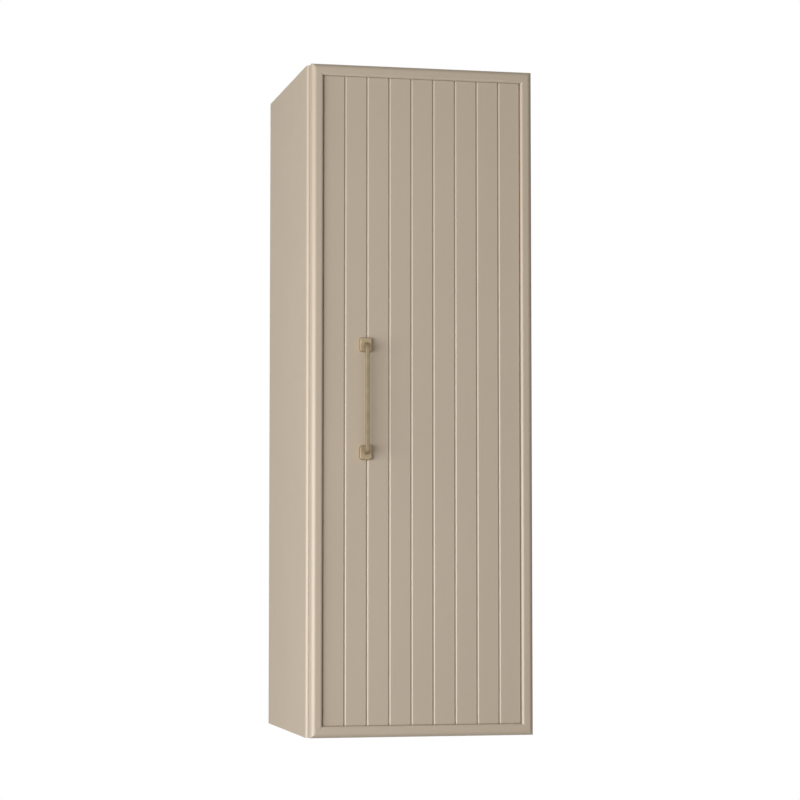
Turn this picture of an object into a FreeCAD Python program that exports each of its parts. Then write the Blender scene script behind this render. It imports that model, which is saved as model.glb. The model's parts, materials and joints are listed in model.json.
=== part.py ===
import FreeCAD, Part
import math
import os

# Wall-hung bathroom cabinet, millimetres.
# X runs to the right seen from the front, Y runs back towards the wall, Z runs up.
# The origin is the middle of the four wall-fixing holes, on the wall plane.

V = FreeCAD.Vector

# Two places closer than this are the same place
SAME = 1e-4

# Carcass
CARCASS_W = 346.0
CARCASS_H = 1000.0
CARCASS_D = 330.0
PANEL_T = 18.0
FRONT_EDGE_R = 4.5
BACK_T = 8.0
BACK_GROOVE = 7.0
BACK_FIT = 0.1
RAIL_T = 18.0
RAIL_H = 90.0

# Wall fixing holes through the rails and the back
WALL_HOLE_R = 3.25
WALL_HOLE_X = 240.0

# Door
DOOR_INSET = 4.0
DOOR_REVEAL_Z = 0.5
DOOR_T = 20.0
DOOR_GAP = 2.5
FRAME_W = 17.5
FRAME_ROUND = 7.0
FRAME_INNER_R = 4.0
FRAME_LIP_BACK = 4.0
FRAME_BACK_R = 1.5

# Tongue-and-groove boards of the door
BOARD_COUNT = 9
BOARD_T = 15.0
BOARD_FIT = 0.1
VEE_W = 3.8
VEE_D = 1.4
END_VEE = 0.4
TONGUE_L = 5.0
TONGUE_T = 4.5
TONGUE_V = 5.5

# Shelves on pegs in rows of holes
SHELF_PITCH = 240.0
SHELF_T = 16.0
SHELF_SIDE_GAP = 1.0
SHELF_BACK_GAP = 1.0
SHELF_FRONT_SET = 22.0
SHELF_EDGE_R = 1.0
PEG_R = 2.5
PEG_FIT = 0.05
PEG_IN = 8.0
PEG_ROW_SET = 37.0
PEG_ROW_PITCH = 32.0
PEG_ROW_STEPS = 2
PEG_TAB_L = 9.0
PEG_TAB_W = 10.0
PEG_TAB_H = 7.0

# Cam fittings and dowels at the corners
CAM_R = 7.4
CAM_L = 12.5
CAM_FIT = 0.1
CAM_SET = 24.0
CAM_EDGE_SET = 50.0
CAM_BOLT_R = 3.0
CAM_BOLT_FIT = 0.4
CAM_THREAD_R = 2.5
CAM_THREAD_L = 11.0
CAM_CAP_R = 8.6
CAM_CAP_T = 1.5
DOWEL_R = 4.0
DOWEL_FIT = 0.05
DOWEL_IN_SIDE = 11.5
DOWEL_IN_END = 18.0
DOWEL_EDGE_SET = 82.0
DOWEL_RAIL_STEP = 50.0
HOLE_SPARE = 0.5
CAM_CAP_EDGE_R = 0.5

# Cross recess and rounded rim of every visible screw head
CROSS_W = 0.9
CROSS_D = 0.8
CROSS_RIM = 1.1
HEAD_EDGE_R = 0.4

# Single-axis hidden hinges
HINGE_END_SET = 100.0
HINGE_MIDDLE_Z = 128.0
PIVOT_EDGE = 6.0
PIVOT_BACK = 7.5
PIN_R = 2.0
PIN_RUN = 0.05
PIN_SEAT = 0.03
ARM_EYE_R = 3.2
ARM_NECK_W = 5.0
ARM_REACH = 13.0
ARM_POST_W = 4.5
ARM_HALF_Z = 5.5
ARM_BODY_T = 8.5
ARM_BEND_Y = 22.0
ARM_END_Y = 75.0
ARM_EDGE_R = 1.2
CUP_SIDE_GAP = 0.5
CUP_WALL = 2.0
CUP_WEB_T = 1.5
CUP_WEB_X = 19.5
CUP_FRONT_X = 3.5
CUP_FLOOR_Y = 3.4
CUP_FLANGE_T = 1.2
CUP_FLANGE_X = 9.0
CUP_FLANGE_Z = 22.0
CUP_CORNER_R = 4.0
POCKET_FIT = 0.3
EDGE_NOTCH_Y = 3.5
EDGE_NOTCH_FIT = 0.7
CUP_SCREW_R = 1.8
CUP_SCREW_L = 9.0
CUP_SCREW_X = 14.0
CUP_SCREW_Z = 16.0
CUP_SCREW_HEAD_R = 3.4
CUP_SCREW_HEAD_T = 1.5
SCREW_FIT = 0.05
PLATE_T = 2.5
PLATE_Y0 = 24.0
PLATE_Y1 = 70.0
PLATE_HALF_Z = 8.0
PLATE_WING_Z = 20.0
PLATE_WING_W = 15.0
PLATE_SCREW_SET = 37.0
PLATE_SCREW_Z = 14.5
PLATE_SCREW_R = 2.0
PLATE_SCREW_L = 12.0
PLATE_HEAD_R = 3.8
PLATE_HEAD_T = 1.8
PLATE_CORNER_R = 3.0
ARM_SCREW_R = 2.5
ARM_SCREW_FIT = 0.3
ARM_SCREW_END = 12.0
ARM_HEAD_R = 4.0
ARM_HEAD_T = 2.5
ADJUSTER_END = 34.0
ADJUSTER_PROUD = 0.5

# Magnetic catch and soft bumpers on the free side
CATCH_Z = 60.0
CATCH_W = 14.0
CATCH_D = 16.0
CATCH_H = 46.0
CATCH_SET = 1.0
CATCH_EDGE_R = 1.5
MAGNET_W = 8.0
MAGNET_D = 12.0
MAGNET_H = 24.0
MAGNET_PROUD = 1.9
MAGNET_FIT = 0.1
CATCH_SCREW_R = 1.6
CATCH_SCREW_L = 10.0
CATCH_SCREW_Z = 17.5
CATCH_HEAD_R = 2.8
CATCH_HEAD_T = 1.2
STRIKE_T = 1.2
STRIKE_H = 36.0
STRIKE_CORNER_R = 2.0
STRIKE_SCREW_R = 1.6
STRIKE_SCREW_L = 9.0
STRIKE_HEAD_R = 3.0
BUMPER_R = 4.0
BUMPER_T = 2.2
BUMPER_EDGE_R = 1.0
BUMPER_END_SET = 30.0
BUMPER_DOOR_SET = 7.0

# Bar handle
HANDLE_GROOVE = 2
HANDLE_SIDE_SET = 3.0
HANDLE_CENTRES = 160.0
ROSE_W = 18.5
ROSE_H = 21.5
ROSE_CORNER_R = 4.0
ROSE_T = 7.0
ROSE_EDGE_R = 2.0
BAR_W = 5.5
BAR_T = 5.5
BAR_EDGE_R = 1.2
BAR_OUT = 17.0
BAR_BEND_R = 6.0
HANDLE_SCREW_R = 2.0
HANDLE_SCREW_FIT = 0.3
HANDLE_SCREW_TIP = 4.0
HANDLE_HEAD_R = 4.2
HANDLE_HEAD_T = 2.5

# Places that follow from the sizes
HALF_W = CARCASS_W / 2
HALF_H = CARCASS_H / 2
INNER_X = HALF_W - PANEL_T
INNER_Z = HALF_H - PANEL_T
FRONT_Y = -CARCASS_D
BACK_Y1 = -RAIL_T
BACK_Y0 = BACK_Y1 - BACK_T
DOOR_BACK_Y = FRONT_Y - DOOR_GAP
BOARD_FACE_Y = DOOR_BACK_Y - BOARD_T
DOOR_X = HALF_W - DOOR_INSET
DOOR_Z = HALF_H - DOOR_REVEAL_Z
OPENING_X = DOOR_X - FRAME_W
OPENING_Z = DOOR_Z - FRAME_W
BOARD_PITCH = 2 * OPENING_X / BOARD_COUNT
PIVOT = V(DOOR_X - PIVOT_EDGE, DOOR_BACK_Y - PIVOT_BACK, 0)
SIDE_FACE = INNER_X - PIVOT.x
CUP_INNER_Z = ARM_HALF_Z + CUP_SIDE_GAP
CUP_OUTER_Z = CUP_INNER_Z + CUP_WALL
PLATE_FACE = SIDE_FACE - PLATE_T
ARM_BACK = PLATE_FACE - ARM_BODY_T
PLATE_SCREW_Y = FRONT_Y + PLATE_SCREW_SET - PIVOT.y
HANDLE_X = -OPENING_X + HANDLE_GROOVE * BOARD_PITCH - HANDLE_SIDE_SET
PEG_ROWS_Y = (FRONT_Y + PEG_ROW_SET, BACK_Y0 - PEG_ROW_SET)
CORNER_CAMS_Y = (FRONT_Y + CAM_EDGE_SET, BACK_Y0 - CAM_EDGE_SET)
CORNER_DOWELS_Y = (FRONT_Y + DOWEL_EDGE_SET, BACK_Y0 - DOWEL_EDGE_SET)
SHELF_LEVELS = {"upper": SHELF_PITCH, "middle": 0.0, "lower": -SHELF_PITCH}
HINGE_LEVELS = {"upper": HALF_H - HINGE_END_SET, "middle": HINGE_MIDDLE_Z, "lower": HINGE_END_SET - HALF_H}
PANEL_MID_Z = HALF_H - PANEL_T / 2
RAIL_MID_Z = INNER_Z - RAIL_H / 2
CATCH_X0 = -INNER_X
CATCH_Y0 = FRONT_Y + CATCH_SET


def box(x0, x1, y0, y1, z0, z1):
    return Part.makeBox(x1 - x0, y1 - y0, z1 - z0, V(x0, y0, z0))


def rod(radius, start, end):
    step = end - start
    return Part.makeCylinder(radius, step.Length, start, step)


def prism(points, height):
    wire = Part.makePolygon(points + [points[0]])
    return Part.Face(wire).extrude(height)


def mirrored(shape):
    return shape.mirror(V(0, 0, 0), V(1, 0, 0))


def flipped(shape):
    return shape.mirror(V(0, 0, 0), V(0, 0, 1))


def edges_where(shape, test, along=None):
    found = []
    for edge in shape.Edges:
        ends = [v.Point for v in edge.Vertexes]
        turned = along and not near(abs(edge.tangentAt(edge.FirstParameter).dot(along)), 1)
        if len(ends) == 2 and all(test(p) for p in ends) and not turned:
            found.append(edge)
    return found


def edges_along(shape, direction):
    return edges_where(shape, lambda p: True, direction)


def near(a, b):
    return abs(a - b) < SAME


def disc(radius, seat, top, edge_r):
    made = rod(radius, seat, top)
    rim = [e for e in made.Edges if (e.CenterOfMass - top).Length < edge_r / 2]
    return made.makeFillet(edge_r, rim)


def screw_head(radius, seat, top):
    head = disc(radius, seat, top, HEAD_EDGE_R)
    reach = radius - CROSS_RIM
    half = CROSS_W / 2
    arms = [box(-reach, reach, -half, half, 0, CROSS_D), box(-half, half, -reach, reach, 0, CROSS_D)]
    cross = arms[0].fuse(arms[1])
    cross.Placement = FreeCAD.Placement(top, FreeCAD.Rotation(V(0, 0, 1), seat - top))
    return head.cut(cross)


def export(node, shapes):
    shapes = shapes if isinstance(shapes, list) else [shapes]
    solids = [s for shape in shapes for s in shape.Solids]
    whole = solids[0] if len(solids) == 1 else Part.makeCompound(solids)
    whole.exportStep("parts/" + node + ".step")


# Fasteners of the corners, on the right-hand end; the left-hand end is their mirror image.
def corner_bolt(y, z):
    thread = rod(CAM_THREAD_R, V(INNER_X, y, z), V(INNER_X + CAM_THREAD_L, y, z))
    shank = rod(CAM_BOLT_R, V(INNER_X - CAM_SET + CAM_BOLT_R, y, z), V(INNER_X, y, z))
    return shank.fuse(thread)


def corner_bolt_holes(y, z):
    thread_end = V(INNER_X + CAM_THREAD_L + HOLE_SPARE, y, z)
    thread = rod(CAM_THREAD_R + SCREW_FIT, V(INNER_X, y, z), thread_end)
    shank = rod(CAM_BOLT_R + CAM_BOLT_FIT, V(INNER_X - CAM_SET, y, z), V(INNER_X, y, z))
    return shank, thread


def cam(y, spare=0.0):
    x = INNER_X - CAM_SET
    return rod(CAM_R + spare, V(x, y, INNER_Z), V(x, y, INNER_Z + CAM_L + (HOLE_SPARE if spare else 0)))


def dowel(y, z, spare=0.0, extra=0.0):
    start = V(INNER_X - DOWEL_IN_END - extra, y, z)
    return rod(DOWEL_R + spare, start, V(INNER_X + DOWEL_IN_SIDE + extra, y, z))


def both_ways(shapes):
    return shapes + [mirrored(s) for s in shapes]


def four_ways(shapes):
    half = both_ways(shapes)
    return half + [flipped(s) for s in half]


upper_bolts = [corner_bolt(y, PANEL_MID_Z) for y in CORNER_CAMS_Y]
upper_dowels = [dowel(y, PANEL_MID_Z) for y in CORNER_DOWELS_Y]
rail_dowels_z = (RAIL_MID_Z - DOWEL_RAIL_STEP / 2, RAIL_MID_Z + DOWEL_RAIL_STEP / 2)
rail_dowels = [dowel(-RAIL_T / 2, z) for z in rail_dowels_z]
bolt_holes = [h for y in CORNER_CAMS_Y for h in corner_bolt_holes(y, PANEL_MID_Z)]
dowel_holes = [dowel(y, PANEL_MID_Z, DOWEL_FIT, HOLE_SPARE) for y in CORNER_DOWELS_Y]
rail_dowel_holes = [dowel(-RAIL_T / 2, z, DOWEL_FIT, HOLE_SPARE) for z in rail_dowels_z]
cam_holes = [cam(y, CAM_FIT) for y in CORNER_CAMS_Y]


# Shelf pegs, on the right-hand side
def peg(y, top_z):
    axis_z = top_z - PEG_TAB_H / 2
    stem = rod(PEG_R, V(INNER_X, y, axis_z), V(INNER_X + PEG_IN, y, axis_z))
    profile = [
        V(INNER_X, y - PEG_TAB_W / 2, top_z - PEG_TAB_H),
        V(INNER_X, y - PEG_TAB_W / 2, top_z),
        V(INNER_X - PEG_TAB_L, y - PEG_TAB_W / 2, top_z),
        V(INNER_X - PEG_TAB_L, y - PEG_TAB_W / 2, top_z - PEG_TAB_H / 2),
    ]
    return prism(profile, V(0, PEG_TAB_W, 0)).fuse(stem)


def peg_hole(y, z):
    return rod(PEG_R + PEG_FIT, V(INNER_X, y, z), V(INNER_X + PEG_IN + HOLE_SPARE, y, z))


pegs = []
peg_holes = []
for level in SHELF_LEVELS.values():
    under = level - SHELF_T / 2
    for row_y in PEG_ROWS_Y:
        pegs.append(peg(row_y, under))
        for step in range(-PEG_ROW_STEPS, PEG_ROW_STEPS + 1):
            peg_holes.append(peg_hole(row_y, under - PEG_TAB_H / 2 + step * PEG_ROW_PITCH))


# Hinges, drawn about the pivot axis with X to the right and Y to the back
def hinge_arm():
    neck = ARM_NECK_W / 2
    post_x = ARM_POST_W - ARM_REACH
    outline = [
        V(0, -neck, -ARM_HALF_Z),
        V(-ARM_REACH, -neck, -ARM_HALF_Z),
        V(-ARM_REACH, ARM_BEND_Y - ARM_POST_W, -ARM_HALF_Z),
        V(ARM_BACK, ARM_BEND_Y, -ARM_HALF_Z),
        V(ARM_BACK, ARM_END_Y, -ARM_HALF_Z),
        V(PLATE_FACE, ARM_END_Y, -ARM_HALF_Z),
        V(PLATE_FACE, ARM_BEND_Y, -ARM_HALF_Z),
        V(post_x, ARM_BEND_Y, -ARM_HALF_Z),
        V(post_x, neck, -ARM_HALF_Z),
        V(0, neck, -ARM_HALF_Z),
    ]
    if near(post_x, PLATE_FACE):
        outline.pop(7)
    body = prism(outline, V(0, 0, 2 * ARM_HALF_Z))
    inner_edges = []
    for z in (-ARM_HALF_Z, ARM_HALF_Z):
        inner_edges += edges_where(body, lambda p: near(p.z, z) and p.x < ARM_BACK + ARM_EDGE_R)
    body = body.makeFillet(ARM_EDGE_R, inner_edges)
    eye = rod(ARM_EYE_R, V(0, 0, -ARM_HALF_Z), V(0, 0, ARM_HALF_Z))
    bore = rod(PIN_R + PIN_RUN, V(0, 0, -ARM_HALF_Z), V(0, 0, ARM_HALF_Z))
    holes = [bore]
    for y in (ARM_END_Y - ARM_SCREW_END, ADJUSTER_END):
        start = V(ARM_BACK, y, 0)
        holes.append(rod(ARM_SCREW_R + ARM_SCREW_FIT, start, V(PLATE_FACE, y, 0)))
    return body.fuse(eye).cut(holes).removeSplitter()


def hinge_arm_screws():
    y = ARM_END_Y - ARM_SCREW_END
    head = screw_head(ARM_HEAD_R, V(ARM_BACK, y, 0), V(ARM_BACK - ARM_HEAD_T, y, 0))
    shank = rod(ARM_SCREW_R, V(ARM_BACK, y, 0), V(SIDE_FACE, y, 0))
    adjuster = rod(ARM_SCREW_R, V(ARM_BACK - ADJUSTER_PROUD, ADJUSTER_END, 0), V(PLATE_FACE, ADJUSTER_END, 0))
    return [head.fuse(shank), adjuster]


def hinge_plate():
    bar = box(PLATE_FACE, SIDE_FACE, PLATE_Y0, PLATE_Y1, -PLATE_HALF_Z, PLATE_HALF_Z)
    wing_y0 = PLATE_SCREW_Y - PLATE_WING_W / 2
    wings = box(PLATE_FACE, SIDE_FACE, wing_y0, wing_y0 + PLATE_WING_W, -PLATE_WING_Z, PLATE_WING_Z)
    holes = [
        rod(PLATE_SCREW_R + SCREW_FIT, V(PLATE_FACE, PLATE_SCREW_Y, z), V(SIDE_FACE, PLATE_SCREW_Y, z))
        for z in (-PLATE_SCREW_Z, PLATE_SCREW_Z)
    ]
    y = ARM_END_Y - ARM_SCREW_END
    holes.append(rod(ARM_SCREW_R + SCREW_FIT, V(PLATE_FACE, y, 0), V(SIDE_FACE, y, 0)))
    plate = bar.fuse(wings).removeSplitter()
    corners = edges_where(
        plate,
        lambda p: near(abs(p.z), PLATE_WING_Z) or near(p.y, PLATE_Y0) or near(p.y, PLATE_Y1),
        V(1, 0, 0),
    )
    return plate.makeFillet(PLATE_CORNER_R, corners).cut(holes)


def plate_screws(spare=0.0, extra=0.0):
    made = []
    for z in (-PLATE_SCREW_Z, PLATE_SCREW_Z):
        tip = V(SIDE_FACE + PLATE_SCREW_L + extra, PLATE_SCREW_Y, z)
        made.append(rod(PLATE_SCREW_R + spare, V(PLATE_FACE, PLATE_SCREW_Y, z), tip))
    return made


def plate_screw_heads():
    start = PLATE_FACE - PLATE_HEAD_T
    return [
        screw_head(PLATE_HEAD_R, V(PLATE_FACE, PLATE_SCREW_Y, z), V(start, PLATE_SCREW_Y, z))
        for z in (-PLATE_SCREW_Z, PLATE_SCREW_Z)
    ]


def hinge_cup():
    flange_y = PIVOT_BACK + CUP_FLANGE_T
    cheek = box(-CUP_WEB_X, CUP_FRONT_X, -CUP_FLOOR_Y, PIVOT_BACK, CUP_INNER_Z, CUP_OUTER_Z)
    flange = box(-CUP_WEB_X, -CUP_FLANGE_X, PIVOT_BACK, flange_y, CUP_INNER_Z, CUP_FLANGE_Z)
    half = cheek.fuse(flange)
    web = box(-CUP_WEB_X, CUP_WEB_T - CUP_WEB_X, -CUP_FLOOR_Y, PIVOT_BACK, -CUP_OUTER_Z, CUP_OUTER_Z)
    holes = [rod(PIN_R + PIN_SEAT, V(0, 0, -CUP_OUTER_Z), V(0, 0, CUP_OUTER_Z))]
    for z in (-CUP_SCREW_Z, CUP_SCREW_Z):
        start = V(-CUP_SCREW_X, PIVOT_BACK, z)
        holes.append(rod(CUP_SCREW_R + SCREW_FIT, start, V(-CUP_SCREW_X, flange_y, z)))
    cup = web.fuse([half, flipped(half)]).removeSplitter()
    corners = edges_where(cup, lambda p: near(abs(p.z), CUP_FLANGE_Z), V(0, 1, 0))
    return cup.makeFillet(CUP_CORNER_R, corners).cut(holes)


def cup_screws(spare=0.0, extra=0.0):
    flange_y = PIVOT_BACK + CUP_FLANGE_T
    tip_y = PIVOT_BACK - CUP_SCREW_L - extra
    return [
        rod(CUP_SCREW_R + spare, V(-CUP_SCREW_X, flange_y, z), V(-CUP_SCREW_X, tip_y, z))
        for z in (-CUP_SCREW_Z, CUP_SCREW_Z)
    ]


def cup_screw_heads():
    flange_y = PIVOT_BACK + CUP_FLANGE_T
    top_y = flange_y + CUP_SCREW_HEAD_T
    return [
        screw_head(CUP_SCREW_HEAD_R, V(-CUP_SCREW_X, flange_y, z), V(-CUP_SCREW_X, top_y, z))
        for z in (-CUP_SCREW_Z, CUP_SCREW_Z)
    ]


def hinge_pocket():
    side = CUP_OUTER_Z + POCKET_FIT
    front = CUP_FRONT_X + POCKET_FIT
    back_y = PIVOT_BACK + CUP_FLANGE_T
    pocket = box(-CUP_WEB_X - POCKET_FIT, front, -CUP_FLOOR_Y - POCKET_FIT, back_y, -side, side)
    slot = ARM_HALF_Z + EDGE_NOTCH_FIT
    notch = box(front, PIVOT_EDGE + DOOR_INSET, EDGE_NOTCH_Y, back_y, -slot, slot)
    return [pocket, notch]


def at_hinge(shape, level):
    copy = shape.copy()
    copy.translate(V(PIVOT.x, PIVOT.y, level))
    return copy


def at_hinges(shapes):
    return [at_hinge(s, level) for level in HINGE_LEVELS.values() for s in shapes]


# Carcass panels
def side_panel():
    slab = box(INNER_X, HALF_W, FRONT_Y, 0, -HALF_H, HALF_H)
    outer_front = edges_where(slab, lambda p: near(p.x, HALF_W) and near(p.y, FRONT_Y))
    slab = slab.makeFillet(FRONT_EDGE_R, outer_front)
    groove_z = INNER_Z + BACK_GROOVE
    groove = box(INNER_X, INNER_X + BACK_GROOVE, BACK_Y0 - BACK_FIT, BACK_Y1, -groove_z, groove_z)
    upper = bolt_holes + dowel_holes + rail_dowel_holes
    return slab.cut([groove] + upper + [flipped(h) for h in upper] + peg_holes)


def end_panel():
    slab = box(-INNER_X, INNER_X, FRONT_Y, 0, INNER_Z, HALF_H)
    groove = box(-INNER_X, INNER_X, BACK_Y0 - BACK_FIT, BACK_Y1, INNER_Z, INNER_Z + BACK_GROOVE)
    return slab.cut([groove] + both_ways(bolt_holes + dowel_holes + cam_holes))


def wall_holes():
    x = WALL_HOLE_X / 2
    hole = rod(WALL_HOLE_R, V(x, BACK_Y0, RAIL_MID_Z), V(x, 0, RAIL_MID_Z))
    return four_ways([hole])


def back_panel():
    reach = BACK_GROOVE - BACK_FIT
    x = INNER_X + reach
    z = INNER_Z + reach
    return box(-x, x, BACK_Y0, BACK_Y1, -z, z).cut(wall_holes())


def hanging_rail():
    bar = box(-INNER_X, INNER_X, -RAIL_T, 0, INNER_Z - RAIL_H, INNER_Z)
    return bar.cut(both_ways(rail_dowel_holes) + wall_holes())


def shelf(level):
    x = INNER_X - SHELF_SIDE_GAP
    y0 = FRONT_Y + SHELF_FRONT_SET
    board = box(-x, x, y0, BACK_Y0 - SHELF_BACK_GAP, level - SHELF_T / 2, level + SHELF_T / 2)
    front = edges_where(board, lambda p: near(p.y, y0))
    long_edges = [e for e in front if e.Length > SHELF_T * 2]
    return board.makeFillet(SHELF_EDGE_R, long_edges)


def corner_cam(y):
    x = INNER_X - CAM_SET
    slot_r = CAM_BOLT_R + CAM_BOLT_FIT
    slot = rod(slot_r, V(x, y, PANEL_MID_Z), V(x + CAM_R + CAM_FIT, y, PANEL_MID_Z))
    return cam(y).cut(slot)


def corner_cap(y):
    x = INNER_X - CAM_SET
    return disc(CAM_CAP_R, V(x, y, INNER_Z), V(x, y, INNER_Z - CAM_CAP_T), CAM_CAP_EDGE_R)


# Door frame: a mitred moulding with a rounded outer edge, a flat and a quarter-round inner edge
def moulding(length):
    flat_end = FRAME_W - FRAME_INNER_R
    step_v = DOOR_T - FRAME_INNER_R
    diag = math.sqrt(0.5)
    half = length / 2

    def at(u, v):
        return V(u, -v, -half)

    back_mid = at(FRAME_BACK_R * (1 - diag), FRAME_BACK_R * (1 - diag))
    front_mid = at(FRAME_ROUND * (1 - diag), DOOR_T - FRAME_ROUND * (1 - diag))
    inner_mid = at(flat_end + FRAME_INNER_R * diag, step_v + FRAME_INNER_R * diag)
    edges = [
        Part.makeLine(at(FRAME_LIP_BACK, 0), at(FRAME_BACK_R, 0)),
        Part.Arc(at(FRAME_BACK_R, 0), back_mid, at(0, FRAME_BACK_R)).toShape(),
        Part.makeLine(at(0, FRAME_BACK_R), at(0, DOOR_T - FRAME_ROUND)),
        Part.Arc(at(0, DOOR_T - FRAME_ROUND), front_mid, at(FRAME_ROUND, DOOR_T)).toShape(),
        Part.makeLine(at(FRAME_ROUND, DOOR_T), at(flat_end, DOOR_T)),
        Part.Arc(at(flat_end, DOOR_T), inner_mid, at(FRAME_W, step_v)).toShape(),
        Part.makeLine(at(FRAME_W, step_v), at(FRAME_W, BOARD_T)),
        Part.makeLine(at(FRAME_W, BOARD_T), at(FRAME_LIP_BACK, BOARD_T)),
        Part.makeLine(at(FRAME_LIP_BACK, BOARD_T), at(FRAME_LIP_BACK, 0)),
    ]
    bar = Part.Face(Part.Wire(edges)).extrude(V(0, 0, length))
    mitre = [
        V(0, 0, -half),
        V(0, 0, half),
        V(FRAME_W, 0, half - FRAME_W),
        V(FRAME_W, 0, FRAME_W - half),
    ]
    return bar.common(prism(mitre, V(0, -DOOR_T, 0)))


def frame_piece(length, turn, place):
    piece = moulding(length)
    piece.rotate(V(0, 0, 0), V(0, 1, 0), turn)
    piece.translate(place)
    return piece


# Door boards: flat back, tongue on the right edge, groove on the left edge, chamfered front edges
def board(index):
    x0 = -OPENING_X + index * BOARD_PITCH
    x1 = x0 + BOARD_PITCH
    first = index == 0
    last = index == BOARD_COUNT - 1
    under_lip = FRAME_W - FRAME_LIP_BACK - BOARD_FIT
    vee = VEE_W / 2
    z = DOOR_Z - FRAME_LIP_BACK - BOARD_FIT
    left = x0 - under_lip if first else x0
    right = x1 + under_lip if last else x1

    def at(x, v):
        return V(x, DOOR_BACK_Y - v, -z)

    outline = [at(left, 0), at(right, 0)]
    if last:
        outline += [at(right, BOARD_T), at(x1, BOARD_T), at(x1, BOARD_T - VEE_D), at(x1 - vee, BOARD_T)]
    else:
        outline += [
            at(right, TONGUE_V),
            at(right + TONGUE_L, TONGUE_V),
            at(right + TONGUE_L, TONGUE_V + TONGUE_T),
            at(right, TONGUE_V + TONGUE_T),
            at(right, BOARD_T - VEE_D),
            at(right - vee, BOARD_T),
        ]
    if first:
        outline += [at(x0 + vee, BOARD_T), at(x0, BOARD_T - VEE_D), at(x0, BOARD_T), at(left, BOARD_T)]
    else:
        deep = TONGUE_L + BOARD_FIT
        outline += [
            at(left + vee, BOARD_T),
            at(left, BOARD_T - VEE_D),
            at(left, TONGUE_V + TONGUE_T + BOARD_FIT),
            at(left + deep, TONGUE_V + TONGUE_T + BOARD_FIT),
            at(left + deep, TONGUE_V - BOARD_FIT),
            at(left, TONGUE_V - BOARD_FIT),
        ]
    return prism(outline, V(0, 0, 2 * z))


# Small chamfered joint across the boards' ends, along the frame's top rail
def end_vee():
    corner = V(-OPENING_X, BOARD_FACE_Y, OPENING_Z)
    points = [corner, corner - V(0, 0, END_VEE), corner + V(0, END_VEE, 0)]
    return prism(points, V(2 * OPENING_X, 0, 0))


# Handle: a flat-faced bar bent at both ends, each end in a square rose, held by screws from behind
HANDLE_LEVELS = (-HANDLE_CENTRES / 2, HANDLE_CENTRES / 2)
BAR_Y = BOARD_FACE_Y - BAR_OUT


def handle_rose(level):
    back = V(HANDLE_X, BOARD_FACE_Y, level)
    front = V(HANDLE_X, BOARD_FACE_Y - ROSE_T, level)
    side = ROSE_W / 2
    end = ROSE_H / 2
    block = box(HANDLE_X - side, HANDLE_X + side, front.y, back.y, level - end, level + end)
    block = block.makeFillet(ROSE_CORNER_R, edges_along(block, V(0, 1, 0)))
    block = block.makeFillet(ROSE_EDGE_R, edges_where(block, lambda p: near(p.y, front.y)))
    return block.cut(rod(HANDLE_SCREW_R + SCREW_FIT, back, front))


def bar_section(centre):
    side = BAR_W / 2
    edge = BAR_T / 2
    flat_x = side - BAR_EDGE_R
    flat_z = edge - BAR_EDGE_R
    diag = BAR_EDGE_R * math.sqrt(0.5)
    edges = []
    for sx, sz in ((1, 1), (-1, 1), (-1, -1), (1, -1)):
        on_side = centre + V(sx * side, 0, sz * flat_z)
        on_edge = centre + V(sx * flat_x, 0, sz * edge)
        corner = centre + V(sx * (flat_x + diag), 0, sz * (flat_z + diag))
        ends = (on_side, on_edge) if sx * sz > 0 else (on_edge, on_side)
        edges.append(Part.Arc(ends[0], corner, ends[1]).toShape())
        after = centre + (V(-sx * flat_x, 0, sz * edge) if sx * sz > 0 else V(sx * side, 0, -sz * flat_z))
        edges.append(Part.makeLine(ends[1], after))
    return Part.Wire(edges)


def handle_bar():
    top = HANDLE_CENTRES / 2
    foot_y = BOARD_FACE_Y - ROSE_T
    bend_y = BAR_Y + BAR_BEND_R
    bend_z = top - BAR_BEND_R
    diag = BAR_BEND_R * (1 - math.sqrt(0.5))
    x = HANDLE_X

    def arc(z_sign):
        start = V(x, bend_y, z_sign * top)
        mid = V(x, BAR_Y + diag, z_sign * (top - diag))
        return Part.Arc(start, mid, V(x, BAR_Y, z_sign * bend_z)).toShape()

    path = Part.Wire([
        Part.makeLine(V(x, foot_y, top), V(x, bend_y, top)),
        arc(1),
        Part.makeLine(V(x, BAR_Y, bend_z), V(x, BAR_Y, -bend_z)),
        arc(-1),
        Part.makeLine(V(x, bend_y, -top), V(x, foot_y, -top)),
    ])
    bar = path.makePipeShell([bar_section(V(x, foot_y, top))], True, True)
    tapped = []
    for level in HANDLE_LEVELS:
        end = V(x, foot_y - HANDLE_SCREW_TIP, level)
        tapped.append(rod(HANDLE_SCREW_R + SCREW_FIT, V(x, foot_y, level), end))
    return bar.cut(tapped)


def handle_screw(level):
    head_y = DOOR_BACK_Y - HANDLE_HEAD_T
    tip_y = BOARD_FACE_Y - ROSE_T - HANDLE_SCREW_TIP
    head = screw_head(HANDLE_HEAD_R, V(HANDLE_X, head_y, level), V(HANDLE_X, DOOR_BACK_Y, level))
    shank = rod(HANDLE_SCREW_R, V(HANDLE_X, head_y, level), V(HANDLE_X, tip_y, level))
    return head.fuse(shank)


def handle_screw_holes(level):
    head_y = DOOR_BACK_Y - HANDLE_HEAD_T
    wide = HANDLE_HEAD_R + HANDLE_SCREW_FIT
    sink = rod(wide, V(HANDLE_X, DOOR_BACK_Y, level), V(HANDLE_X, head_y, level))
    through = HANDLE_SCREW_R + HANDLE_SCREW_FIT
    return [sink, rod(through, V(HANDLE_X, head_y, level), V(HANDLE_X, BOARD_FACE_Y, level))]


# Catch on the left side panel and its strike plate on the door
CATCH_X1 = CATCH_X0 + CATCH_W
CATCH_MID_X = (CATCH_X0 + CATCH_X1) / 2
STRIKE_FACE_Y = DOOR_BACK_Y + STRIKE_T


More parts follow.
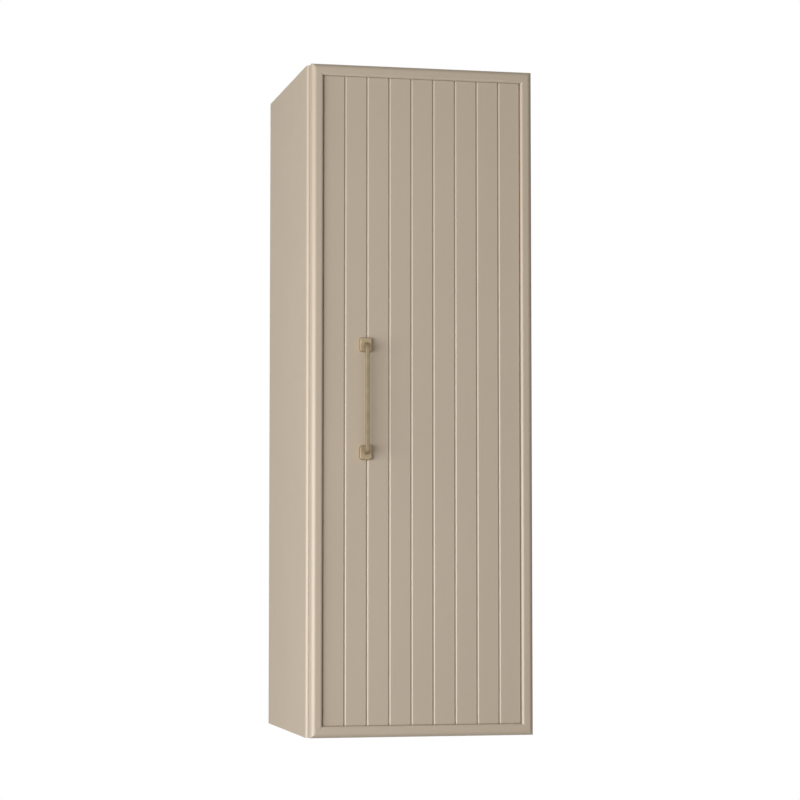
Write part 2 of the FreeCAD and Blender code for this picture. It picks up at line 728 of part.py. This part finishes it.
def magnet(spare=0.0):
    half_x = MAGNET_W / 2 + spare
    half_z = MAGNET_H / 2 + spare
    y0 = CATCH_Y0 - MAGNET_PROUD
    y1 = CATCH_Y0 + MAGNET_D - MAGNET_PROUD
    return box(CATCH_MID_X - half_x, CATCH_MID_X + half_x, y0, y1, CATCH_Z - half_z, CATCH_Z + half_z)


def catch_screw_places():
    y = CATCH_Y0 + CATCH_D / 2
    return [(y, CATCH_Z - CATCH_SCREW_Z), (y, CATCH_Z + CATCH_SCREW_Z)]


def catch_screw(y, z):
    head = screw_head(CATCH_HEAD_R, V(CATCH_X1, y, z), V(CATCH_X1 + CATCH_HEAD_T, y, z))
    return head.fuse(rod(CATCH_SCREW_R, V(CATCH_X1, y, z), V(CATCH_X0 - CATCH_SCREW_L, y, z)))


def catch_screw_hole(y, z):
    tip = V(CATCH_X0 - CATCH_SCREW_L - HOLE_SPARE, y, z)
    return rod(CATCH_SCREW_R + SCREW_FIT, V(CATCH_X1, y, z), tip)


def catch_body():
    bottom = CATCH_Z - CATCH_H / 2
    block = box(CATCH_X0, CATCH_X1, CATCH_Y0, CATCH_Y0 + CATCH_D, bottom, bottom + CATCH_H)
    block = block.makeFillet(CATCH_EDGE_R, edges_where(block, lambda p: near(p.x, CATCH_X1)))
    return block.cut([magnet(MAGNET_FIT)] + [catch_screw_hole(y, z) for y, z in catch_screw_places()])


def strike_plate():
    bottom = CATCH_Z - STRIKE_H / 2
    plate = box(CATCH_X0, CATCH_X1, DOOR_BACK_Y, STRIKE_FACE_Y, bottom, bottom + STRIKE_H)
    plate = plate.makeFillet(STRIKE_CORNER_R, edges_along(plate, V(0, 1, 0)))
    start = V(CATCH_MID_X, DOOR_BACK_Y, CATCH_Z)
    return plate.cut(rod(STRIKE_HEAD_R + SCREW_FIT, start, V(CATCH_MID_X, STRIKE_FACE_Y, CATCH_Z)))


def strike_screw():
    base = V(CATCH_MID_X, DOOR_BACK_Y, CATCH_Z)
    head = screw_head(STRIKE_HEAD_R, base, V(CATCH_MID_X, STRIKE_FACE_Y, CATCH_Z))
    return head.fuse(rod(STRIKE_SCREW_R, base, V(CATCH_MID_X, DOOR_BACK_Y - STRIKE_SCREW_L, CATCH_Z)))


def strike_screw_hole():
    tip = V(CATCH_MID_X, DOOR_BACK_Y - STRIKE_SCREW_L - HOLE_SPARE, CATCH_Z)
    return rod(STRIKE_SCREW_R + SCREW_FIT, V(CATCH_MID_X, DOOR_BACK_Y, CATCH_Z), tip)


def bumper(level):
    x = BUMPER_DOOR_SET - DOOR_X
    return disc(BUMPER_R, V(x, FRONT_Y, level), V(x, FRONT_Y - BUMPER_T, level), BUMPER_EDGE_R)


os.makedirs("parts", exist_ok=True)

# Carcass
right_side = side_panel()
left_side = mirrored(right_side)
plate_screw_holes = at_hinges(plate_screws(SCREW_FIT, HOLE_SPARE))
catch_holes = [catch_screw_hole(y, z) for y, z in catch_screw_places()]
top_panel = end_panel()
upper_rail = hanging_rail()
export("side_panel_left", left_side.cut(catch_holes))
export("side_panel_right", right_side.cut(plate_screw_holes))
export("top_panel", top_panel)
export("bottom_panel", flipped(top_panel))
export("back_panel", back_panel())
export("hanging_rail_upper", upper_rail)
export("hanging_rail_lower", flipped(upper_rail))
for name, level in SHELF_LEVELS.items():
    export("shelf_" + name, shelf(level))
export("shelf_pegs", both_ways(pegs))
export("cam_bolts", four_ways(upper_bolts))
export("cam_housings", four_ways([corner_cam(y) for y in CORNER_CAMS_Y]))
export("cam_cover_caps", four_ways([corner_cap(y) for y in CORNER_CAMS_Y]))
export("assembly_dowels", four_ways(upper_dowels + rail_dowels))

# Hinges
plate_screw_set = [h.fuse(s) for h, s in zip(plate_screw_heads(), plate_screws())]
cup_screw_set = [h.fuse(s) for h, s in zip(cup_screw_heads(), cup_screws())]
hinge_pin = rod(PIN_R, V(0, 0, -CUP_OUTER_Z), V(0, 0, CUP_OUTER_Z))
for name, level in HINGE_LEVELS.items():
    export("hinge_plate_" + name, at_hinge(hinge_plate(), level))
    export("hinge_arm_" + name, at_hinge(hinge_arm(), level))
    export("hinge_cup_" + name, at_hinge(hinge_cup(), level))
export("hinge_pins", at_hinges([hinge_pin]))
export("hinge_plate_screws", at_hinges(plate_screw_set))
export("hinge_arm_screws", at_hinges(hinge_arm_screws()))
export("hinge_cup_screws", at_hinges(cup_screw_set))

# Catch and bumpers
export("catch_body", catch_body())
export("catch_magnet", magnet())
export("catch_screws", [catch_screw(y, z) for y, z in catch_screw_places()])
export("catch_strike_plate", strike_plate())
export("catch_strike_screw", strike_screw())
export("door_bumpers", [bumper(z) for z in (BUMPER_END_SET - HALF_H, HALF_H - BUMPER_END_SET)])

# Door
pockets = at_hinges(hinge_pocket())
cup_screw_holes = at_hinges(cup_screws(SCREW_FIT, HOLE_SPARE))
hinge_cuts = pockets + cup_screw_holes
export("door_stile_left", frame_piece(2 * DOOR_Z, 0, V(-DOOR_X, DOOR_BACK_Y, 0)))
export("door_stile_right", frame_piece(2 * DOOR_Z, 180, V(DOOR_X, DOOR_BACK_Y, 0)).cut(pockets))
export("door_rail_top", frame_piece(2 * DOOR_X, 90, V(0, DOOR_BACK_Y, DOOR_Z)))
export("door_rail_bottom", frame_piece(2 * DOOR_X, -90, V(0, DOOR_BACK_Y, -DOOR_Z)))
handle_holes = [h for level in HANDLE_LEVELS for h in handle_screw_holes(level)]
for index in range(BOARD_COUNT):
    cuts = hinge_cuts + handle_holes + [strike_screw_hole(), end_vee(), flipped(end_vee())]
    shape = board(index)
    touching = [c for c in cuts if c.BoundBox.intersect(shape.BoundBox)]
    export("door_board_%d" % (index + 1), shape.cut(touching) if touching else shape)

# Handle
export("handle_bar", handle_bar())
export("handle_rose_upper", handle_rose(HANDLE_LEVELS[1]))
export("handle_rose_lower", handle_rose(HANDLE_LEVELS[0]))
export("handle_screws", [handle_screw(level) for level in HANDLE_LEVELS])
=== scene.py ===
"""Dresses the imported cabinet: its materials, a pale floor, soft studio light and the photograph's camera."""
import json
import math

import bpy
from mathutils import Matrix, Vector


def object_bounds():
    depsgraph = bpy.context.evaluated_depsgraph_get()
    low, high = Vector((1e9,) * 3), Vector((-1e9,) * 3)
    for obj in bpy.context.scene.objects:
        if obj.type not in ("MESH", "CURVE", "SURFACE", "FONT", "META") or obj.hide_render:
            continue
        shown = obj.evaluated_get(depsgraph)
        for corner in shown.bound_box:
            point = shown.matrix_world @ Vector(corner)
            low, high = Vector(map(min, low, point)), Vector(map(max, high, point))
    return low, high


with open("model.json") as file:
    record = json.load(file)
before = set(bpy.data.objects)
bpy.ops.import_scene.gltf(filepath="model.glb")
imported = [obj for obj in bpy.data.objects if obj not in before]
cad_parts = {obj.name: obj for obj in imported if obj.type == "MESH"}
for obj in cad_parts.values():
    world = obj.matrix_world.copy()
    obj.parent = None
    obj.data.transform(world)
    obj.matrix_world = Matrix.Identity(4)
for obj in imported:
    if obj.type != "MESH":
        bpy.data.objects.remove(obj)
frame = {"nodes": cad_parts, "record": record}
CAD_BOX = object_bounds()

# Camera at the photograph's viewing angle: metres and degrees, with lens and sensor in millimetres
CAMERA_AT = (-0.8331, -3.9568, -0.2317)
CAMERA_YAW = 12.478
CAMERA_PITCH = 3.570
CAMERA_LENS = 111.97
CAMERA_SENSOR = 36.0
CAMERA_REACH = 200.0
# An unturned camera looks straight down, and this turn about X levels it
CAMERA_LEVEL = 90.0

# Lamps: places, aims and sizes in metres, power in watts
KEY_AT = (-2.62, -2.19, -0.22)
KEY_AIM = (0.0, -0.35, 0.0)
KEY_SIZE = (4.2, 1.4)
KEY_POWER = 138.0
RIM_AT = (1.6, 2.2, 2.6)
RIM_AIM = (0.0, -0.1, 0.0)
RIM_SIZE = (2.0, 2.0)
RIM_POWER = 105.0

# World: soft fill from straight below to straight above, and the level that the object mirrors, which
# fades from white on the room's side to dim on the wall's side as a ray turns from one Y to the other
WHITE = 1.0
FILL_ABOVE = 0.28
FILL_BELOW = 0.14
FILL_TINT = (1.0, 0.93, 0.84)
WALL_GLOSS = 0.18
ROOM_RAY_Y = -0.4
WALL_RAY_Y = 0.6

# Floor disc under the hanging cabinet; its own light to the camera grows to white at the rim
FLOOR_DROP = 0.5
FLOOR_Z = CAD_BOX[0][2] - FLOOR_DROP
FLOOR_R = 3.2
FLOOR_SIDES = 96
FLOOR_PAINT = 0.36
FLOOR_LIFT_NEAR = 0.62
FLOOR_LIFT_FROM = 0.25 * FLOOR_R
FLOOR_LIFT_TO = 0.9 * FLOOR_R

# Colours as linear values
TAUPE = (0.492, 0.412, 0.322)
TAUPE_WORN = (0.545, 0.464, 0.370)
BRASS = (0.288, 0.232, 0.152)
BRASS_DARK = (0.252, 0.202, 0.132)
NICKEL = (0.620, 0.605, 0.580)
ZINC = (0.540, 0.545, 0.545)
CAP_PLASTIC = (0.455, 0.375, 0.300)
CATCH_PLASTIC = (0.740, 0.720, 0.685)
FERRITE = (0.045, 0.044, 0.043)
BUMPER = (0.560, 0.530, 0.490)
BEECH = (0.560, 0.390, 0.235)

# Textures: most of a noise's values lie between low and high; usual detail, roughness and bump strength
NOISE_LOW = 0.3
NOISE_HIGH = 0.7
NOISE_DETAIL = 3.0
FINE_DETAIL = 2.0
NOISE_ROUGHNESS = 0.5
BUMP_STRENGTH = 0.5

# Satin paint: texture scales per metre, lengths in metres, roughness as a low and a high value
MOTTLE_SCALE = 5.0
MOTTLE_DEPTH = 0.015
EDGE_RADIUS = 0.0007
EDGE_SAMPLES = 4
EDGE_WEAR = 0.35
EDGE_WORN_TURN = 0.75
PEEL_SCALE = 520.0
PEEL_ROUGHNESS = 0.45
PEEL_HEIGHT = 0.00004
PEEL_STRENGTH = 0.30
SMEAR_SCALE = 26.0
PAINT_ROUGHNESS = (0.345, 0.385)
RAIL_SHADE = 0.97

# Painted shade: the paint's colour darkens in its crevices and gaps, from a shut place to an open one
CREVICE_REACH = 0.004
CREVICE_SAMPLES = 6
CREVICE_SHUT = 0.2
CREVICE_OPEN = 0.7
CREVICE_SHADE = 0.55

# Aged brass: tarnish in patches, polishing lines drawn out along Z, and the level of the bar's colour and of
# the roses', whose lighter brass is painted light against the shade from the bar and the door
TARNISH_SCALE = 60.0
TARNISH_DETAIL = 4.0
TARNISH_ROUGHNESS = 0.6
TARNISH_FROM = 0.35
TARNISH_TO = 0.70
POLISH_STRETCH = (900.0, 900.0, 60.0)
POLISH_HEIGHT = 0.00003
POLISH_STRENGTH = 0.4
BRASS_ROUGHNESS = (0.64, 0.74)
BAR_LEVEL = 1.0
ROSE_PAINTED_LIFT = 1.25

# Plated steel: soft clouding, and a fine grain drawn out along Y
CLOUD_SCALE = 90.0
CLOUD_SHADE = 0.9
GRAIN_STRETCH = (1400.0, 120.0, 1400.0)
GRAIN_HEIGHT = 0.00002
NICKEL_ROUGHNESS = (0.24, 0.36)
ZINC_ROUGHNESS = (0.32, 0.46)

# Moulded plastic, rubber and ferrite: faint clouding and a spark-eroded texture
MOULD_CLOUD_SCALE = 40.0
MOULD_SHADE = 0.96
MOULD_LIGHT = 1.03
SPARK_SCALE = 2600.0
SPARK_HEIGHT = 0.00004
MOULD_SPREAD = 0.05
CAP_ROUGHNESS = 0.50
CATCH_ROUGHNESS = 0.45
FERRITE_ROUGHNESS = 0.55
BUMPER_ROUGHNESS = 0.40

# Bare beech: flecks drawn out along X
FLECK_STRETCH = (60.0, 700.0, 700.0)
FLECK_SHADE = 0.72
FLECK_HEIGHT = 0.00008
BEECH_ROUGHNESS = (0.60, 0.75)

# Places of the colour sockets on a Mix node
MIX_FIRST = 6
MIX_SECOND = 7
MIX_RESULT = 2


class Nodes:
    """A short way to build the node tree of a material or a world."""

    def __init__(self, owner, output):
        self.owner = owner
        owner.use_nodes = True
        self.tree = owner.node_tree
        self.tree.nodes.clear()
        self.out = self.tree.nodes.new(output)

    def feed(self, socket, value):
        """Links a socket to another node's output, or sets it to a plain value."""
        if isinstance(value, bpy.types.NodeSocket):
            self.tree.links.new(value, socket)
        else:
            socket.default_value = value

    def add(self, kind, inputs, **settings):
        """Adds a node with its settings and feeds its inputs, by name or by place."""
        node = self.tree.nodes.new(kind)
        for key, value in settings.items():
            setattr(node, key, value)
        for key, value in inputs.items():
            self.feed(node.inputs[key], value)
        return node

    def place(self, stretch=(1.0, 1.0, 1.0)):
        """Coordinates fixed to the piece, in metres times the stretch along each axis."""
        where = self.add("ShaderNodeTexCoord", {}).outputs["Object"]
        return self.add("ShaderNodeMapping", {"Vector": where, "Scale": stretch}).outputs["Vector"]

    def noise(self, where, scale=1.0, detail=NOISE_DETAIL, roughness=NOISE_ROUGHNESS):
        inputs = {"Vector": where, "Scale": scale, "Detail": detail, "Roughness": roughness}
        return self.add("ShaderNodeTexNoise", inputs).outputs["Fac"]

    def span(self, value, low=0.0, high=1.0, start=NOISE_LOW, end=NOISE_HIGH):
        """Takes a value from its own range, start to end, to the range low to high."""
        inputs = {"Value": value, "From Min": start, "From Max": end, "To Min": low, "To Max": high}
        return self.add("ShaderNodeMapRange", inputs).outputs["Result"]

    def math(self, operation, first, second):
        return self.add("ShaderNodeMath", {0: first, 1: second}, operation=operation).outputs["Value"]

    def mix(self, factor, first, second):
        node = self.add("ShaderNodeMix", {"Factor": factor}, data_type="RGBA")
        for place, colour in ((MIX_FIRST, first), (MIX_SECOND, second)):
            self.feed(node.inputs[place], (*colour, 1.0) if isinstance(colour, tuple) else colour)
        return node.outputs[MIX_RESULT]

    def bump(self, height, distance, strength=BUMP_STRENGTH, normal=None):
        inputs = {"Height": height, "Distance": distance, "Strength": strength}
        if normal is not None:
            inputs["Normal"] = normal
        return self.add("ShaderNodeBump", inputs).outputs["Normal"]

    def seen(self, mirrored=WHITE):
        """White for a ray that sees its surroundings, dimmed for a mirrored one, and zero for others."""
        ray = self.add("ShaderNodeLightPath", {}).outputs
        glossy = self.math("MULTIPLY", ray["Is Glossy Ray"], mirrored)
        direct = self.math("MAXIMUM", ray["Is Camera Ray"], glossy)
        return self.math("MAXIMUM", direct, ray["Is Transmission Ray"])

    def surface(self, colour, roughness, normal, metallic=0.0):
        inputs = {"Base Color": colour, "Roughness": roughness, "Normal": normal, "Metallic": metallic}
        shader = self.add("ShaderNodeBsdfPrincipled", inputs)
        return self.finish(shader.outputs["BSDF"])

    def finish(self, shader):
        self.feed(self.out.inputs["Surface"], shader)
        return self.owner


def material_nodes(name):
    return Nodes(bpy.data.materials.new(name), "ShaderNodeOutputMaterial")


def scaled(colour, factor):
    return tuple(c * factor for c in colour)


def satin_paint(name, colour, worn):
    """Sprayed satin paint on board: faint mottling, orange peel, softened and slightly rubbed edges, and
    painted shade darkening its crevices.
    """
    n = material_nodes(name)
    where = n.place()
    mottle = n.span(n.noise(where, MOTTLE_SCALE))
    tint = n.mix(mottle, scaled(colour, 1.0 - MOTTLE_DEPTH), scaled(colour, 1.0 + MOTTLE_DEPTH))
    soft = n.add("ShaderNodeBevel", {"Radius": EDGE_RADIUS}, samples=EDGE_SAMPLES).outputs["Normal"]
    flat = n.add("ShaderNodeNewGeometry", {}).outputs["Normal"]
    turn = n.add("ShaderNodeVectorMath", {0: soft, 1: flat}, operation="DOT_PRODUCT").outputs["Value"]
    rubbed = n.mix(n.span(turn, EDGE_WEAR, 0.0, EDGE_WORN_TURN, 1.0), tint, worn)
    # Painted shade: darker paint where the surroundings close in, in crevices, grooves and gaps
    crevice_occlusion = n.add("ShaderNodeAmbientOcclusion", {"Distance": CREVICE_REACH}, samples=CREVICE_SAMPLES)
    painted_shade_mask = n.span(crevice_occlusion.outputs["AO"], 1.0, 0.0, CREVICE_SHUT, CREVICE_OPEN)
    base = n.mix(painted_shade_mask, rubbed, scaled(colour, CREVICE_SHADE))
    peel = n.noise(where, PEEL_SCALE, FINE_DETAIL, PEEL_ROUGHNESS)
    normal = n.bump(peel, PEEL_HEIGHT, PEEL_STRENGTH, soft)
    smear = n.noise(where, SMEAR_SCALE)
    return n.surface(base, n.span(smear, *PAINT_ROUGHNESS), normal)


def aged_brass(name, level):
    """Dull aged brass: patchy tarnish, fine polishing lines along the bar; level scales its colour, and a
    raised level paints light onto a piece.
    """
    n = material_nodes(name)
    patch = n.noise(n.place(), TARNISH_SCALE, TARNISH_DETAIL, TARNISH_ROUGHNESS)
    tarnish = n.span(patch, 0.0, 1.0, TARNISH_FROM, TARNISH_TO)
    colour = n.mix(tarnish, scaled(BRASS, level), scaled(BRASS_DARK, level))
    lines = n.noise(n.place(POLISH_STRETCH))
    normal = n.bump(lines, POLISH_HEIGHT, POLISH_STRENGTH)
    return n.surface(colour, n.span(patch, *BRASS_ROUGHNESS), normal, metallic=1.0)


def plated(name, colour, roughness):
    """Plated pressed steel: soft clouding and a fine drawn grain."""
    n = material_nodes(name)
    cloud = n.noise(n.place(), CLOUD_SCALE)
    tint = n.mix(n.span(cloud), scaled(colour, CLOUD_SHADE), colour)
    grain = n.noise(n.place(GRAIN_STRETCH), detail=FINE_DETAIL)
    normal = n.bump(grain, GRAIN_HEIGHT)
    return n.surface(tint, n.span(cloud, *roughness), normal, metallic=1.0)


def moulded(name, colour, roughness):
    """Moulded plastic, rubber or ferrite with a fine spark-eroded texture."""
    n = material_nodes(name)
    where = n.place()
    cloud = n.noise(where, MOULD_CLOUD_SCALE, FINE_DETAIL)
    tint = n.mix(n.span(cloud), scaled(colour, MOULD_SHADE), scaled(colour, MOULD_LIGHT))
    spark = n.noise(where, SPARK_SCALE, FINE_DETAIL)
    normal = n.bump(spark, SPARK_HEIGHT)
    return n.surface(tint, n.span(cloud, roughness - MOULD_SPREAD, roughness + MOULD_SPREAD), normal)


def bare_beech(name):
    """Bare turned beech with flecked grain along the dowel."""
    n = material_nodes(name)
    fleck = n.noise(n.place(FLECK_STRETCH))
    tint = n.mix(n.span(fleck), BEECH, scaled(BEECH, FLECK_SHADE))
    normal = n.bump(fleck, FLECK_HEIGHT)
    return n.surface(tint, n.span(fleck, *BEECH_ROUGHNESS), normal)


def dress_pieces():
    """Gives each piece the material of its slot; the handle's roses get a lighter copy of the brass, painted
    light that offsets the shade from the bar and the door.
    """
    materials = {
        "satin_paint": satin_paint("satin_paint", TAUPE, TAUPE_WORN),
        "raw_rail": satin_paint("rail_paint", scaled(TAUPE, RAIL_SHADE), TAUPE_WORN),
        "beech": bare_beech("beech"),
        "nickel": plated("nickel", NICKEL, NICKEL_ROUGHNESS),
        "zinc_steel": plated("zinc_steel", ZINC, ZINC_ROUGHNESS),
        "cap_plastic": moulded("cap_plastic", CAP_PLASTIC, CAP_ROUGHNESS),
        "catch_plastic": moulded("catch_plastic", CATCH_PLASTIC, CATCH_ROUGHNESS),
        "ferrite": moulded("ferrite", FERRITE, FERRITE_ROUGHNESS),
        "bumper_rubber": moulded("bumper_rubber", BUMPER, BUMPER_ROUGHNESS),
        "aged_brass": aged_brass("aged_brass", BAR_LEVEL),
    }
    # Painted light: a lighter brass for the roses, against the shade that the bar and the door cast on them
    painted_lift_rose_brass = aged_brass("painted_lift_rose_brass", ROSE_PAINTED_LIFT)
    for row in frame["record"]["subparts"]:
        node = frame["nodes"][row["node"]]
        node.data.materials.clear()
        rose_gets_lift = row["node"].startswith("handle_rose")
        node.data.materials.append(painted_lift_rose_brass if rose_gets_lift else materials[row["material_slot"]])


def add_floor():
    """Pale floor, well below the cabinet, which hangs on a wall."""
    bpy.ops.mesh.primitive_circle_add(vertices=FLOOR_SIDES, radius=FLOOR_R, fill_type="NGON",
                                      location=(0.0, 0.0, FLOOR_Z))
    floor = bpy.context.object
    floor.name = "floor"
    n = material_nodes("floor")
    paint = n.add("ShaderNodeBsdfDiffuse", {"Color": (FLOOR_PAINT, FLOOR_PAINT, FLOOR_PAINT, 1.0)})
    reach = n.add("ShaderNodeVectorMath", {0: n.place()}, operation="LENGTH").outputs["Value"]
    rise = n.span(reach, FLOOR_LIFT_NEAR, WHITE, FLOOR_LIFT_FROM, FLOOR_LIFT_TO)
    glow = n.add("ShaderNodeEmission", {"Strength": n.math("MULTIPLY", n.seen(), rise)})
    both = n.add("ShaderNodeAddShader", {0: paint.outputs["BSDF"], 1: glow.outputs["Emission"]})
    floor.data.materials.append(n.finish(both.outputs["Shader"]))


def add_world():
    """White where it is seen directly or through glass, white in reflections of the room and dimmer in those
    of the wall's side, and a low soft fill otherwise."""
    n = Nodes(bpy.data.worlds.new("studio"), "ShaderNodeOutputWorld")
    toward = n.add("ShaderNodeTexCoord", {}).outputs["Generated"]
    axes = n.add("ShaderNodeSeparateXYZ", {"Vector": toward}).outputs
    seen = n.seen(n.span(axes["Y"], WHITE, WALL_GLOSS, ROOM_RAY_Y, WALL_RAY_Y))
    fill = n.span(axes["Z"], FILL_BELOW, FILL_ABOVE, -1.0, 1.0)
    level = n.span(seen, fill, WHITE, 0.0, 1.0)
    tint = n.mix(seen, FILL_TINT, (WHITE, WHITE, WHITE))
    sky = n.add("ShaderNodeBackground", {"Color": tint, "Strength": level})
    bpy.context.scene.world = n.finish(sky.outputs["Background"])


def add_lamp(name, at, aim, size, power):
    """A rectangular area lamp that faces its aim."""
    data = bpy.data.lights.new(name, "AREA")
    data.shape = "RECTANGLE"
    data.size, data.size_y = size
    data.energy = power
    lamp = bpy.data.objects.new(name, data)
    lamp.location = at
    lamp.rotation_mode = "QUATERNION"
    lamp.rotation_quaternion = (Vector(aim) - Vector(at)).to_track_quat("-Z", "Y")
    bpy.context.scene.collection.objects.link(lamp)
    return lamp


def add_lamps():
    """A wide key lamp on the left, and a rim lamp that lights the top and the back but isn't mirrored."""
    add_lamp("key", KEY_AT, KEY_AIM, KEY_SIZE, KEY_POWER)
    rim = add_lamp("rim", RIM_AT, RIM_AIM, RIM_SIZE, RIM_POWER)
    rim.visible_glossy = False


def add_camera():
    data = bpy.data.cameras.new("camera")
    data.lens = CAMERA_LENS
    data.sensor_width = CAMERA_SENSOR
    data.clip_end = CAMERA_REACH
    camera = bpy.data.objects.new("camera", data)
    camera.location = CAMERA_AT
    camera.rotation_euler = (math.radians(CAMERA_LEVEL + CAMERA_PITCH), 0.0, math.radians(-CAMERA_YAW))
    bpy.context.scene.collection.objects.link(camera)
    bpy.context.scene.camera = camera


dress_pieces()
add_floor()
add_world()
add_lamps()
add_camera()
bpy.context.scene.view_settings.view_transform = "Standard"
